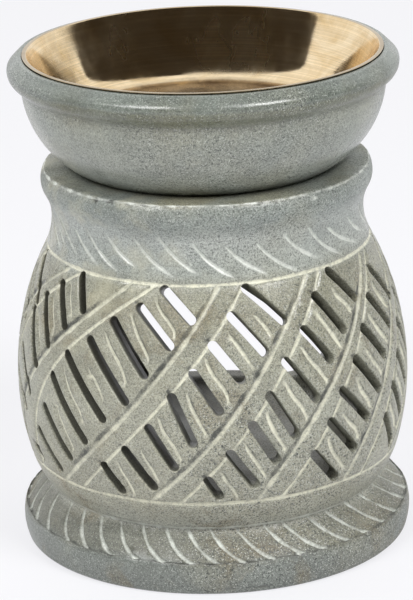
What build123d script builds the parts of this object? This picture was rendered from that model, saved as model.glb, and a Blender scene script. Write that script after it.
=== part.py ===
from build123d import *
import math
import os

# Essential oil burner: a pierced soapstone lamp body with a foot and a ringed neck,
# a turned soapstone dish that lifts off the neck, and a spun brass liner set in the dish.
# Millimetres. The foot stands on z = 0, +Z is up, the tea light goes in at the back (+Y).

# Arcs are cut as flats, none further than this from the true arc, to keep the facets few.
flat_depth = 0.15

# Radii of the lamp's outside. The belly's is the largest, and each other one is set from it
# or from its neighbour by a named step in or out.
belly_radius = 39.46
foot_bulge_reach = 0.09
foot_round_inset = 0.45
foot_flat_inset = 0.9
foot_edge_inset = 0.55
waist_inset = 6.16
low_ring_inset = 2.11
shoulder_inset = 6.91
neck_inset = 1.47
neck_flare_reach = 1.42
neck_ring_reach = 0.5
neck_top_inset = 0.8

foot_bulge_radius = belly_radius + foot_bulge_reach
foot_round_radius = foot_bulge_radius - foot_round_inset
foot_flat_radius = foot_round_radius - foot_flat_inset
foot_edge_radius = foot_bulge_radius - foot_edge_inset
waist_radius = belly_radius - waist_inset
low_ring_radius = belly_radius - low_ring_inset
shoulder_radius = belly_radius - shoulder_inset
neck_radius = shoulder_radius - neck_inset
neck_flare_radius = neck_radius + neck_flare_reach
neck_ring_radius = neck_flare_radius + neck_ring_reach
neck_top_radius = neck_ring_radius - neck_top_inset

# Heights of the lamp's outside, each a named rise above the one before it.
foot_round_height = 1.2
foot_bulge_rise = 2.7
foot_edge_rise = 3.0
waist_rise = 4.55
low_ring_rise = 7.05
belly_rise = 14.5
band_rise = 43.0
shoulder_drop = 0.3
neck_rise = 6.4
neck_flare_rise = 5.0
neck_ring_rise = 2.6
neck_top_rise = 2.1

foot_bulge_height = foot_round_height + foot_bulge_rise
foot_edge_height = foot_bulge_height + foot_edge_rise
waist_height = foot_edge_height + waist_rise
low_ring_height = waist_height + low_ring_rise
belly_height = low_ring_height + belly_rise
high_ring_height = low_ring_height + band_rise
shoulder_height = high_ring_height - shoulder_drop
neck_height = shoulder_height + neck_rise
neck_flare_height = neck_height + neck_flare_rise
neck_ring_height = neck_flare_height + neck_ring_rise
neck_top_height = neck_ring_height + neck_top_rise

# The foot's sloping top starts at a small step in from its edge, and is slightly crowned.
foot_step_width = 0.35
foot_step_drop = 0.35
foot_slope_crown = 0.15

# Inside of the lamp: the chamber for the tea light and the mouth above it.
belly_wall = 3.6
chamber_floor_drop = 2.0
chamber_corner_width = 7.26
chamber_corner_rise = 6.0
chamber_roof_drop = 5.0
mouth_low_rise = 0.5
neck_wall = 8.2
mouth_chamfer = 0.5

chamber_floor_height = low_ring_height - chamber_floor_drop
chamber_floor_radius = belly_radius - belly_wall - chamber_corner_width
chamber_side_height = chamber_floor_height + chamber_corner_rise
chamber_top_height = high_ring_height - chamber_roof_drop
mouth_low_height = high_ring_height + mouth_low_rise
mouth_radius = neck_top_radius - neck_wall

# Arched doorway for the tea light, cut through the back of the belly.
door_width = 44.0
door_sill_rise = 2.5
door_side_rise = 16.0
door_corner_share = 0.85
door_border = 2.6

door_sill_height = chamber_floor_height + door_sill_rise
door_spring_height = door_sill_height + door_side_rise

# Carved band: slots that slant down to the right between rising ribbons. The whole pattern
# is turned by this many degrees to the right of the point opposite the doorway.
pattern_turn = 3.25
slot_width = 2.0
slot_spacing = 6.6
slot_drop = 7.6
slot_lean = 57.0
slot_ring_gap = 2.0
cut_overrun = 2.0

# Each ribbon's lower edge, as degrees round from the front at four even levels of the band.
ribbon_turns = [
    (-62.4, -58.5, -43.6, -14.0),
    (-40.6, -19.5, -1.3, 15.4),
    (-6.9, 12.0, 27.3, 44.6),
    (23.6, 38.9, 53.9, 74.0),
    (53.5, 66.5, 81.5, 100.0),
    (77.0, 94.0, 112.0, 131.0),
    (107.0, 124.5, 141.0, 161.0),
    (136.0, 155.0, 172.5, 190.0),
    (168.0, 185.0, 201.0, 221.5),
    (200.0, 216.5, 233.0, 253.0),
    (232.0, 248.0, 263.5, 284.0),
    (255.0, 276.5, 287.8, 315.4),
]

# Slots that show from the front: the top end, then the bottom end, each as degrees
# round from the front and a share of the band's height.
front_slot_shares = [
    (-77.0, 0.41, -68.6, 0.28), (-72.7, 0.55, -64.2, 0.38), (-68.1, 0.75, -60.3, 0.53),
    (-61.6, 0.84, -54.2, 0.65), (-54.2, 0.92, -47.4, 0.76), (-45.0, 0.98, -40.6, 0.85),
    (-64.2, 0.10, -61.2, 0.06), (-58.5, 0.21, -50.2, 0.06), (-53.5, 0.35, -43.7, 0.15),
    (-49.8, 0.52, -36.5, 0.26), (-43.7, 0.64, -29.5, 0.39), (-35.1, 0.73, -22.0, 0.49),
    (-27.5, 0.83, -16.1, 0.62), (-18.9, 0.90, -8.7, 0.75), (-11.3, 0.98, -2.1, 0.86),
    (-30.1, 0.15, -25.3, 0.04), (-22.4, 0.25, -14.8, 0.08), (-14.8, 0.37, -8.0, 0.19),
    (-7.9, 0.52, -2.3, 0.31), (-1.6, 0.63, 5.4, 0.46), (4.3, 0.75, 11.9, 0.60),
    (10.6, 0.87, 19.6, 0.71), (16.3, 0.98, 27.0, 0.83),
    (1.7, 0.12, 4.7, 0.04), (8.2, 0.25, 15.2, 0.09), (14.8, 0.38, 21.5, 0.20),
    (20.2, 0.51, 27.4, 0.31), (26.0, 0.65, 34.5, 0.46), (33.4, 0.77, 40.8, 0.62),
    (40.2, 0.90, 47.8, 0.73), (48.9, 0.98, 56.5, 0.84),
    (33.6, 0.19, 41.9, 0.04), (39.1, 0.33, 48.5, 0.16), (43.9, 0.46, 53.7, 0.29),
    (50.6, 0.58, 59.8, 0.40), (56.5, 0.70, 64.6, 0.54), (64.0, 0.81, 71.8, 0.65),
    (71.5, 0.91, 79.3, 0.75), (-83.0, 0.27, -75.0, 0.12), (-91.0, 0.16, -85.5, 0.05),
]
plain_ribbons = range(4, 11)

# Dish: the turned soapstone bowl that lifts off the neck.
spigot_clearance = 0.4
spigot_depth = 2.8
spigot_rim_width = 6.6
spigot_recess_depth = 4.6
seat_ledge = 2.0
dish_low_reach = 5.6
dish_low_rise = 4.7
dish_side_reach = 4.4
dish_side_rise = 11.4
lip_under_reach = 1.4
lip_under_rise = 1.2
lip_reach = 1.2
lip_rise = 2.4
lip_crown_inset = 2.0
lip_crown_rise = 2.7

spigot_radius = mouth_radius - spigot_clearance
spigot_recess_radius = spigot_radius - spigot_rim_width
dish_seat_radius = mouth_radius + seat_ledge
dish_low_radius = dish_seat_radius + dish_low_reach
dish_low_height = neck_top_height + dish_low_rise
dish_side_radius = dish_low_radius + dish_side_reach
dish_side_height = dish_low_height + dish_side_rise
lip_under_radius = dish_side_radius + lip_under_reach
lip_under_height = dish_side_height + lip_under_rise
lip_radius = lip_under_radius + lip_reach
lip_height = lip_under_height + lip_rise
lip_crown_radius = lip_radius - lip_crown_inset
lip_crown_height = lip_height + lip_crown_rise

# Liner: the spun brass bowl let into the dish, its rim just above the stone's lip.
lip_width = 1.9
liner_rim_rise = 0.3
liner_depth = 14.0
liner_wall_lean = 26.0
liner_bend_radius = 6.5
liner_bend_flat_count = 3
liner_thickness = 0.8
liner_bond_gap = 0.15

liner_rim_radius = lip_crown_radius - lip_width
liner_rim_height = lip_crown_height + liner_rim_rise
liner_floor_height = liner_rim_height - liner_depth


def flats(edge, count=0):
    """Straight cuts that stand for an arc: a given count, or as many as flat_depth asks for."""
    if count == 0:
        turn = math.radians((edge % 0).get_angle(edge % 1))
        widest_turn = 2 * math.acos(1 - min(1, flat_depth * turn / edge.length))
        count = math.ceil(turn / widest_turn)
    points = [edge @ (i / count) for i in range(count + 1)]
    return [Line(points[i], points[i + 1]) for i in range(count)]


def belly_arc(height):
    """Radius of the arc that the belly's outside follows at a height, above or below its middle."""
    if height >= belly_height:
        far_radius, far_height = shoulder_radius, shoulder_height
    else:
        far_radius, far_height = low_ring_radius, low_ring_height
    inset = belly_radius - far_radius
    reach = far_height - belly_height
    return (reach ** 2 + inset ** 2) / (2 * inset)


def radius_outside(height):
    """Radius of the belly's outside at a height."""
    arc_radius = belly_arc(height)
    rise = min(abs(height - belly_height), arc_radius)
    return belly_radius - arc_radius + math.sqrt(arc_radius ** 2 - rise ** 2)


def tilt_outside(height):
    """Radians that the belly's outside faces up at a height, below zero where it faces down."""
    share = (height - belly_height) / belly_arc(height)
    return math.asin(max(-1, min(1, share)))


def band_height(share):
    """Height of a share of the carved band, from its lower to its upper ring."""
    return low_ring_height + share * (high_ring_height - low_ring_height)


def ribbon_turn(turns, share):
    """Degrees round of a ribbon's edge at a share of the band: a cubic through four levels."""
    levels = len(turns) - 1
    total = 0
    for i, turn in enumerate(turns):
        weight = 1
        for j in range(len(turns)):
            if j != i:
                weight *= (share * levels - j) / (i - j)
        total += turn * weight
    return total


def body_outside():
    """Outside line of the lamp from the foot's flat to the top of the neck."""
    flat = Line((0, 0), (foot_flat_radius, 0))
    toe = TangentArc((foot_round_radius, foot_round_height), flat @ 1, tangent=(0, -1))
    edge = ThreePointArc(
        toe @ 0, (foot_bulge_radius, foot_bulge_height), (foot_edge_radius, foot_edge_height)
    )
    step_end = (foot_edge_radius - foot_step_width, foot_edge_height - foot_step_drop)
    step = Line(edge @ 1, step_end)
    slope_middle = (
        (step_end[0] + waist_radius) / 2 + foot_slope_crown,
        (step_end[1] + waist_height) / 2 + foot_slope_crown,
    )
    slope = ThreePointArc(step_end, slope_middle, (waist_radius, waist_height))
    low_belly = TangentArc(
        (belly_radius, belly_height), (low_ring_radius, low_ring_height), tangent=(0, -1)
    )
    waist = TangentArc(low_belly @ 1, slope @ 1, tangent=low_belly % 1)
    high_belly = TangentArc(
        (belly_radius, belly_height), (shoulder_radius, shoulder_height), tangent=(0, 1)
    )
    low_neck = TangentArc((neck_radius, neck_height), high_belly @ 1, tangent=(0, -1))
    high_neck = TangentArc(
        (neck_radius, neck_height), (neck_flare_radius, neck_flare_height), tangent=(0, 1)
    )
    ring = ThreePointArc(
        high_neck @ 1, (neck_ring_radius, neck_ring_height), (neck_top_radius, neck_top_height)
    )
    outline = [flat, step]
    for arc in (toe, edge, slope, waist, low_belly, high_belly, low_neck, high_neck, ring):
        outline += flats(arc)
    return outline


def body_inside():
    """Inside line of the lamp from the neck's mouth down to the chamber floor's centre."""
    chamfer_end = (mouth_radius, neck_top_height - mouth_chamfer)
    top = Line((neck_top_radius, neck_top_height), (mouth_radius + mouth_chamfer, neck_top_height))
    chamfer = Line(top @ 1, chamfer_end)
    mouth = Line(chamfer_end, (mouth_radius, mouth_low_height))
    top_radius = radius_outside(chamber_top_height) - belly_wall
    roof = Line(mouth @ 1, (top_radius, chamber_top_height))
    widest = (belly_radius - belly_wall, belly_height)
    high_side = TangentArc(widest, roof @ 1, tangent=(0, 1))
    side_radius = radius_outside(chamber_side_height) - belly_wall
    low_side = TangentArc(widest, (side_radius, chamber_side_height), tangent=(0, -1))
    corner = TangentArc(
        (chamber_floor_radius, chamber_floor_height), low_side @ 1, tangent=(1, 0)
    )
    floor = Line(corner @ 0, (0, chamber_floor_height))
    axis = Line(floor @ 1, (0, 0))
    return [top, chamfer, mouth, roof, floor, axis] + flats(high_side) + flats(low_side) + flats(corner)


def door_cutter():
    """Arched block that cuts the doorway through the back wall of the belly."""
    half = door_width / 2
    bend = door_corner_share * min(half, door_side_rise)
    sill = Line((bend - half, door_sill_height), (half - bend, door_sill_height))
    right_bend = TangentArc(sill @ 1, (half, door_sill_height + bend), tangent=(1, 0))
    left_bend = TangentArc(sill @ 0, (-half, door_sill_height + bend), tangent=(-1, 0))
    right_side = Line(right_bend @ 1, (half, door_spring_height))
    left_side = Line(left_bend @ 1, (-half, door_spring_height))
    arch = ThreePointArc(right_side @ 1, (0, door_spring_height + half), left_side @ 1)
    outline = make_face([sill, right_bend, left_bend, right_side, left_side, arch])
    return extrude(Plane.XZ * outline, amount=belly_radius + cut_overrun, dir=(0, 1, 0))


def near_door(turn, height):
    """True where a point of the band lies in the doorway or its plain border."""
    across = radius_outside(height) * math.sin(math.radians(turn))
    behind = math.cos(math.radians(turn)) < 0
    low = door_sill_height - door_border
    high = door_spring_height + door_width / 2 + door_border
    return behind and abs(across) < door_width / 2 + door_border and low < height < high


def plain_slots(ribbon):
    """Slots of a strip at the sides and back: evenly spaced along the ribbon's edge."""
    turns = ribbon_turns[ribbon]
    band = high_ring_height - low_ring_height
    slots = []
    share = 1 - slot_ring_gap / 2 / band
    while band_height(share) - slot_drop > low_ring_height + slot_ring_gap / 2:
        height = band_height(share)
        radius = radius_outside(height)
        start = ribbon_turn(turns, share) + math.degrees(slot_width / 2 / radius)
        across = slot_drop / math.tan(math.radians(slot_lean))
        end = start + math.degrees(across / radius)
        slots.append((start, share, end, share - slot_drop / band))
        step = slot_spacing / band / 2
        run = math.radians(ribbon_turn(turns, share) - ribbon_turn(turns, share - step)) * radius
        share -= slot_spacing / band * (slot_spacing / 2) / math.hypot(run, slot_spacing / 2)
    return slots


def slot_cutter(slot):
    """Round-ended bar that cuts one slot square to the belly's surface at its middle."""
    start, start_share, end, end_share = slot
    high, low = band_height(start_share), band_height(end_share)
    middle_height = (high + low) / 2
    middle_turn = math.radians((start + end) / 2)
    radius = radius_outside(middle_height)
    tilt = tilt_outside(middle_height)
    across = radius * math.radians(end - start)
    drop = (high - low) / math.cos(tilt)
    length = math.hypot(across, drop)
    out = Vector(math.sin(middle_turn), -math.cos(middle_turn), 0)
    along = Vector(math.cos(middle_turn), math.sin(middle_turn), 0)
    square = out * math.cos(tilt) + Vector(0, 0, math.sin(tilt))
    start_point = out * radius + Vector(0, 0, middle_height) + square * cut_overrun
    face_plane = Plane(origin=start_point, x_dir=along, z_dir=square)
    lean = math.degrees(math.atan2(-drop, across))
    depth = (radius - mouth_radius) / math.cos(tilt) + 2 * cut_overrun
    sides = []
    for edge in SlotCenterToCenter(length, slot_width).edges():
        sides += flats(edge) if edge.geom_type == GeomType.CIRCLE else [edge]
    outline = face_plane * Rot(Z=lean) * make_face(sides)
    return extrude(outline, amount=-depth)


def slot_list():
    """Every slot of the carved band that the doorway and its border leave whole."""
    slots = list(front_slot_shares)
    for ribbon in plain_ribbons:
        slots += plain_slots(ribbon)
    kept = []
    for start, start_share, end, end_share in slots:
        start, end = start + pattern_turn, end + pattern_turn
        if not (near_door(start, band_height(start_share)) or near_door(end, band_height(end_share))):
            kept.append((start, start_share, end, end_share))
    return kept


def stone_body():
    """Lamp body: foot, pierced belly and neck turned and carved from one block."""
    profile = make_face(body_outside() + body_inside())
    block = revolve(Plane.XZ * profile, axis=Axis.Z)
    cutters = [slot_cutter(slot) for slot in slot_list()]
    return block - [door_cutter()] - cutters


def liner_line(shift):
    """Liner's wall and floor line, moved out and down by a shift from its inside."""
    lean = math.radians(liner_wall_lean)
    floor_height = liner_floor_height - shift
    slant = (liner_rim_height - floor_height) * math.tan(lean)
    rim_radius = liner_rim_radius + shift / math.cos(lean)
    rim = (rim_radius, liner_rim_height)
    corner = (rim_radius - slant, floor_height)
    bend = liner_bend_radius + shift
    turn_length = bend * math.tan(math.radians((90 - liner_wall_lean) / 2))
    bend_start = (corner[0] + turn_length * math.sin(lean), corner[1] + turn_length * math.cos(lean))
    wall = Line(rim, bend_start)
    bend_arc = TangentArc(bend_start, (corner[0] - turn_length, floor_height), tangent=wall % 1)
    floor = Line(bend_arc @ 1, (0, floor_height))
    return [wall] + flats(bend_arc, liner_bend_flat_count) + [floor]


def brass_liner():
    """Spun brass bowl that holds the water and oil."""
    inside = liner_line(0)
    outside = liner_line(liner_thickness)
    rim = Line(inside[0] @ 0, outside[0] @ 0)
    axis = Line(inside[-1] @ 1, outside[-1] @ 1)
    return revolve(Plane.XZ * make_face(inside + outside + [rim, axis]), axis=Axis.Z)


def stone_dish():
    """Turned soapstone dish with a rolled lip and a spigot that drops into the neck."""
    seat_wall, *bend, floor = liner_line(liner_thickness + liner_bond_gap)
    seat_depth = liner_rim_height - (seat_wall @ 1).Y
    lip_inner = seat_wall @ ((liner_rim_height - lip_crown_height) / seat_depth)
    wall = Line(lip_inner, seat_wall @ 1)
    spigot_height = neck_top_height - spigot_depth
    recess_top = spigot_height + spigot_recess_depth
    axis = Line(floor @ 1, (0, recess_top))
    recess = TangentArc((0, recess_top), (spigot_recess_radius, spigot_height), tangent=(1, 0))
    spigot_face = Line(recess @ 1, (spigot_radius, spigot_height))
    spigot = Line(spigot_face @ 1, (spigot_radius, neck_top_height))
    seat_face = Line(spigot @ 1, (dish_seat_radius, neck_top_height))
    low_side = ThreePointArc(
        seat_face @ 1, (dish_low_radius, dish_low_height), (dish_side_radius, dish_side_height)
    )
    under = Line(low_side @ 1, (lip_under_radius, lip_under_height))
    lip = TangentArc((lip_radius, lip_height), under @ 1, tangent=(0, -1))
    crown = TangentArc((lip_radius, lip_height), (lip_crown_radius, lip_crown_height), tangent=(0, 1))
    lip_face = Line(crown @ 1, lip_inner)
    edges = [wall, floor, axis, spigot_face, spigot, seat_face, under, lip_face] + bend
    for arc in (recess, low_side, lip, crown):
        edges += flats(arc)
    return revolve(Plane.XZ * make_face(edges), axis=Axis.Z)


def main():
    os.makedirs("parts", exist_ok=True)
    nodes = {
        "stone_body": stone_body(),
        "stone_dish": stone_dish(),
        "brass_liner": brass_liner(),
    }
    for name, shape in nodes.items():
        shape.label = name
        export_step(shape, "parts/" + name + ".step")


main()
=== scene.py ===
import math
from collections import namedtuple

import bmesh
import bpy
import numpy as np
from mathutils import Matrix, Vector, geometry, noise
from mathutils.kdtree import KDTree


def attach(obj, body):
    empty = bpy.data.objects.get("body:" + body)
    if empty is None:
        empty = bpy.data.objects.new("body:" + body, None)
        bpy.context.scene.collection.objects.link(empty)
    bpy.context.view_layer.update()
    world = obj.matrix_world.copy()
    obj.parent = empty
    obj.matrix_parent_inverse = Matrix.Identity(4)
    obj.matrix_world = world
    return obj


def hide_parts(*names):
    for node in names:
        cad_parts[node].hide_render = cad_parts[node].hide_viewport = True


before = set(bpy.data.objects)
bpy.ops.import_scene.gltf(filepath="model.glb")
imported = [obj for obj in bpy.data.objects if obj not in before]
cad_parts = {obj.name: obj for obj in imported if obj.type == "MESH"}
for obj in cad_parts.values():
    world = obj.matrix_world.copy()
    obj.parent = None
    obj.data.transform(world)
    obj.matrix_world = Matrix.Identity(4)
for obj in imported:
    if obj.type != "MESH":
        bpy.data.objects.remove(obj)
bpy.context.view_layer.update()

# Sizes are in millimetres, as in the CAD source, and meshes are scaled to metres as they are made.
MM = 0.001

# Lamp body: the turned outline, from the foot up. Points are a radius and a height.
foot_flat_radius = 38.2
foot_round = (39.1, 1.2)
foot_bulge = (39.55, 3.9)
foot_edge_radius = 39.0
foot_edge_height = 6.9
foot_step = 0.35
foot_slope_rise = 0.15
waist_radius = 33.3
waist_height = 11.45
low_ring_radius = 37.35
low_ring_height = 18.5
belly_radius = 39.46
belly_height = 33.0
high_ring_height = 61.5
shoulder_radius = 32.55
shoulder_height = 61.2
neck = (31.08, 67.6)
neck_flare = (32.5, 72.6)
neck_ring = (33.0, 75.2)
neck_top_radius = 32.2
neck_top_height = 77.3

# Lamp body: the chamber and the mouth.
belly_wall = 3.6
chamber_floor_height = 16.5
chamber_floor_radius = 28.6
chamber_side_height = 22.5
chamber_top_height = 56.5
mouth_radius = 24.0
mouth_low_height = 62.0
mouth_chamfer = 0.5

# Doorway at the back, and the slots.
door_width = 44.0
door_sill_height = 19.0
door_corner_radius = 13.6
door_spring_height = 35.0
door_border = 2.6
pattern_turn = 3.25
slot_width = 2.0
slot_pitch = 6.6
slot_drop = 7.6
slot_lean = 57.0
slot_ring_gap = 2.0

# Each ribbon's lower edge, in degrees round from the front at four even levels of the band.
ribbon_turns = [
    (-62.4, -58.5, -43.6, -14.0),
    (-40.6, -19.5, -1.3, 15.4),
    (-6.9, 12.0, 27.3, 44.6),
    (23.6, 38.9, 53.9, 74.0),
    (53.5, 66.5, 81.5, 100.0),
    (77.0, 94.0, 112.0, 131.0),
    (107.0, 124.5, 141.0, 161.0),
    (136.0, 155.0, 172.5, 190.0),
    (168.0, 185.0, 201.0, 221.5),
    (200.0, 216.5, 233.0, 253.0),
    (232.0, 248.0, 263.5, 284.0),
    (255.0, 276.5, 287.8, 315.4),
]

# How far round each ribbon's upper edge lies from its lower one, at the same four levels.
ribbon_spans = {
    0: (10.5, 9.5, 6.5, 9.0),
    1: (8.4, 7.0, 7.3, 8.3),
    2: (9.2, 7.1, 6.5, 5.6),
    3: (7.5, 7.2, 4.7, 4.7),
    4: (7.7, 6.9, 6.3, 8.5),
}
usual_span = (7.4, 6.9, 6.9, 6.9)

# Slots that show from the front: degrees round and share of the band, at the top end and then
# at the bottom end.
front_slot_shares = [
    (-77.0, 0.41, -68.6, 0.28), (-72.7, 0.55, -64.2, 0.38), (-68.1, 0.75, -60.3, 0.53),
    (-61.6, 0.84, -54.2, 0.65), (-54.2, 0.92, -47.4, 0.76), (-45.0, 0.98, -40.6, 0.85),
    (-64.2, 0.10, -61.2, 0.06), (-58.5, 0.21, -50.2, 0.06), (-53.5, 0.35, -43.7, 0.15),
    (-49.8, 0.52, -36.5, 0.26), (-43.7, 0.64, -29.5, 0.39), (-35.1, 0.73, -22.0, 0.49),
    (-27.5, 0.83, -16.1, 0.62), (-18.9, 0.90, -8.7, 0.75), (-11.3, 0.98, -2.1, 0.86),
    (-30.1, 0.15, -25.3, 0.04), (-22.4, 0.25, -14.8, 0.08), (-14.8, 0.37, -8.0, 0.19),
    (-7.9, 0.52, -2.3, 0.31), (-1.6, 0.63, 5.4, 0.46), (4.3, 0.75, 11.9, 0.60),
    (10.6, 0.87, 19.6, 0.71), (16.3, 0.98, 27.0, 0.83),
    (1.7, 0.12, 4.7, 0.04), (8.2, 0.25, 15.2, 0.09), (14.8, 0.38, 21.5, 0.20),
    (20.2, 0.51, 27.4, 0.31), (26.0, 0.65, 34.5, 0.46), (33.4, 0.77, 40.8, 0.62),
    (40.2, 0.90, 47.8, 0.73), (48.9, 0.98, 56.5, 0.84),
    (33.6, 0.19, 41.9, 0.04), (39.1, 0.33, 48.5, 0.16), (43.9, 0.46, 53.7, 0.29),
    (50.6, 0.58, 59.8, 0.40), (56.5, 0.70, 64.6, 0.54), (64.0, 0.81, 71.8, 0.65),
    (71.5, 0.91, 79.3, 0.75), (-83.0, 0.27, -75.0, 0.12), (-91.0, 0.16, -85.5, 0.05),
]
plain_ribbons = range(4, 11)

# Curved cuts between the front slots: each goes from its top to its bottom end as pairs of
# degrees round and height.
front_curves = [
    [(-49.8, 59.2), (-47.6, 56.0), (-45.9, 54.2), (-44.8, 52.7)],
    [(-57.7, 56.3), (-56.3, 53.9), (-52.4, 50.0), (-52.0, 47.9)],
    [(-64.2, 51.2), (-61.6, 47.9), (-58.5, 45.2), (-58.1, 42.8)],
    [(-14.1, 58.7), (-13.0, 57.2), (-8.2, 54.2), (-7.2, 53.0), (-7.6, 51.5)],
    [(-22.2, 56.0), (-20.0, 53.0), (-15.2, 48.2), (-14.6, 47.0)],
    [(-30.5, 52.3), (-29.2, 50.3), (-23.1, 45.5), (-21.8, 42.2)],
    [(-35.3, 44.3), (-32.3, 42.5), (-29.9, 40.1), (-29.0, 38.3)],
    [(-45.0, 43.1), (-42.0, 38.9), (-38.0, 35.9), (-36.3, 32.9)],
    [(-47.8, 35.6), (-45.6, 32.0), (-42.4, 28.6), (-41.2, 26.2)],
    [(16.9, 56.0), (19.1, 54.8), (21.3, 52.7), (22.6, 51.2)],
    [(8.7, 53.2), (11.3, 50.6), (13.9, 48.2), (15.6, 46.1)],
    [(1.7, 48.8), (3.0, 46.1), (5.6, 43.7), (7.8, 41.6), (8.2, 39.2)],
    [(-3.8, 42.2), (-2.7, 39.2), (-0.5, 36.2), (1.9, 32.9)],
    [(-12.0, 37.1), (-10.9, 34.1), (-8.2, 31.7), (-5.4, 27.5)],
    [(-17.9, 29.9), (-16.5, 27.8), (-14.4, 25.7), (-12.6, 22.4)],
    [(-25.3, 26.9), (-24.8, 24.8), (-22.7, 22.7), (-21.1, 19.4)],
    [(47.6, 58.0), (48.5, 56.0), (51.1, 54.5), (52.8, 52.9), (52.4, 51.7)],
    [(38.4, 54.7), (40.6, 52.1), (43.2, 49.4), (45.8, 46.1)],
    [(31.0, 49.1), (33.2, 46.1), (36.2, 43.7), (39.1, 40.4)],
    [(24.7, 43.1), (26.6, 39.8), (29.7, 37.1), (31.4, 33.8)],
    [(18.7, 37.7), (19.6, 35.3), (21.3, 32.6), (24.8, 28.4)],
    [(12.1, 31.7), (13.5, 29.3), (16.1, 26.6), (18.7, 23.3)],
    [(5.2, 26.0), (6.5, 23.6), (8.7, 21.8), (10.6, 19.1)],
    [(68.5, 55.1), (70.7, 52.1), (75.1, 48.8)],
    [(60.5, 50.8), (63.3, 47.6), (66.8, 44.6), (69.2, 42.8)],
    [(55.7, 44.6), (58.5, 41.3), (62.0, 38.9), (62.6, 37.4)],
    [(50.0, 39.5), (51.1, 37.1), (54.1, 34.7), (55.9, 32.0)],
    [(43.2, 34.1), (45.8, 31.4), (49.3, 29.3), (50.2, 26.6)],
    [(38.0, 29.9), (39.3, 26.9), (41.5, 24.8), (45.4, 21.5)],
]

# Such a cut at the sides and back: shares of its run round and of its fall.
plain_curve_shares = [(0.0, 0.0), (0.16, 0.26), (0.56, 0.58), (0.9, 0.86), (1.0, 1.0)]

# Strokes cut round the neck: top end, then bottom end, in degrees round and height.
neck_strokes = [
    (-66.0, 67.2, -58.9, 64.4), (-63.6, 69.8, -50.8, 64.0), (-52.8, 69.2, -38.0, 63.0),
    (-44.4, 68.9, -28.9, 62.8), (-34.7, 69.3, -21.5, 64.0), (-23.6, 70.0, -8.1, 62.8),
    (-13.8, 70.5, 1.3, 63.0), (-1.7, 69.3, 13.4, 62.4), (9.4, 68.9, 25.0, 62.5),
    (20.8, 68.9, 36.6, 62.0), (31.6, 69.6, 46.7, 63.2), (41.6, 70.3, 58.5, 62.4),
    (52.1, 68.7, 70.6, 63.0), (64.9, 69.1, 79.0, 63.8),
]
neck_stroke_step = 10.6
neck_stroke_shares = [(0.0, 0.0), (0.22, 0.36), (0.55, 0.7), (1.0, 1.0)]

# Strokes cut round the sloping top of the foot: degrees round where each leaves the waist, and
# the way each takes, as shares of the slope and degrees further round.
foot_stroke_turns = [
    -56.2, -47.9, -39.2, -30.6, -22.1, -13.6, -6.0, 1.6, 10.4, 19.8, 26.6, 36.1, 43.9, 53.5, 62.7,
    73.3, 81.8,
]
foot_stroke_step = 8.8
foot_stroke_shares = [(-0.12, -0.3), (0.02, 0.0), (0.3, 1.9), (0.62, 4.4), (0.88, 7.6), (1.08, 10.8)]

# Small chips knocked off turned edges: degrees round from the front as the photograph shows
# them, height, length in millimetres, and how dark and how chalky they look.
chips = [
    (-37.0, 76.6, 1.6, 0.9, 0.0), (-31.0, 76.9, 2.4, 0.8, 0.0), (-24.0, 76.7, 1.8, 0.9, 0.2),
    (-17.0, 76.9, 2.6, 0.8, 0.0), (-10.0, 76.8, 1.4, 0.7, 0.2), (13.0, 76.8, 1.8, 0.8, 0.0),
    (21.0, 76.9, 2.8, 0.9, 0.1), (28.0, 76.7, 1.5, 0.7, 0.0), (43.0, 76.0, 2.2, 0.0, 0.9),
    (7.0, 1.2, 1.8, 0.7, 0.3), (16.0, 0.9, 2.6, 0.8, 0.2), (28.0, 6.8, 1.4, 0.2, 0.7),
    (-28.0, 6.9, 1.6, 0.3, 0.6), (-51.0, 1.0, 2.0, 0.7, 0.2), (62.0, 1.1, 2.2, 0.6, 0.3),
    (104.0, 76.8, 2.4, 0.7, 0.2), (151.0, 76.6, 1.8, 0.5, 0.6), (-118.0, 76.9, 2.6, 0.8, 0.0),
    (-166.0, 6.8, 2.0, 0.3, 0.7), (126.0, 1.2, 2.6, 0.7, 0.3), (-92.0, 6.9, 1.7, 0.2, 0.6),
]

# Dish and liner.
spigot_clearance = 0.4
spigot_depth = 2.8
spigot_recess_radius = 17.0
spigot_recess_depth = 4.6
dish_seat_radius = 26.0
dish_low = (31.6, 82.0)
dish_side = (36.0, 93.4)
lip_under = (37.4, 94.6)
lip = (38.6, 97.0)
lip_turn = (38.05, 98.3)
lip_crown = (36.6, 99.7)
liner_rim_radius = 34.7
liner_rim_height = 100.0
liner_floor_height = 86.0
liner_wall_lean = 26.0
liner_bend_radius = 6.5
liner_thickness = 0.8
liner_bond_gap = 0.15

# How the meshes are laid out. The lamp's skin is laid flat: degrees round become millimetres
# at flat_radius, and the other way is measured along the turned outline.
flat_radius = 36.0
flat_width = 2 * math.pi * flat_radius
skin_step = 1.25
line_step = 0.8
inside_step = 2.5
turns_round = 180
lathe_turns = 216
row_turn = math.radians(9)
edge_round = 0.28
door_edge_round = 0.45

# Gaps from a slot's and the doorway's edge at which rows of points follow it.
slot_rows = (0.07, 0.17, 0.28, 0.6)
door_rows = (0.1, 0.24, 0.45, 0.9)

# Share of a cut wall's depth at which the first row of points behind its edge lies.
wall_first_row = 0.07

# Where the underside's disc and the chamber floor's begin, and where outer rows meet inner ones.
underside_radius = 36.0
floor_join_radius = 24.0
top_join_radius = 25.2

# A gap that counts as far from any slot, how much beyond a slot its gaps are worked out, and how
# far in front of and behind a slot's middle the outside and the inside are looked for.
far_away = 9.0
slot_slack = 5.0
near_turn = 0.35
outside_depths = (-3.0, 3.0)
inside_depths = (-16.0, -1.0)
halvings = 30

# The skin's points: how clear of openings and borders they keep, and how far apart rows of
# points beside edges and cuts lie.
border_clear = 0.3
opening_clear = 0.04
edge_points_apart = 0.05
cut_points_square = 0.17
cut_points_apart = 0.14

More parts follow.
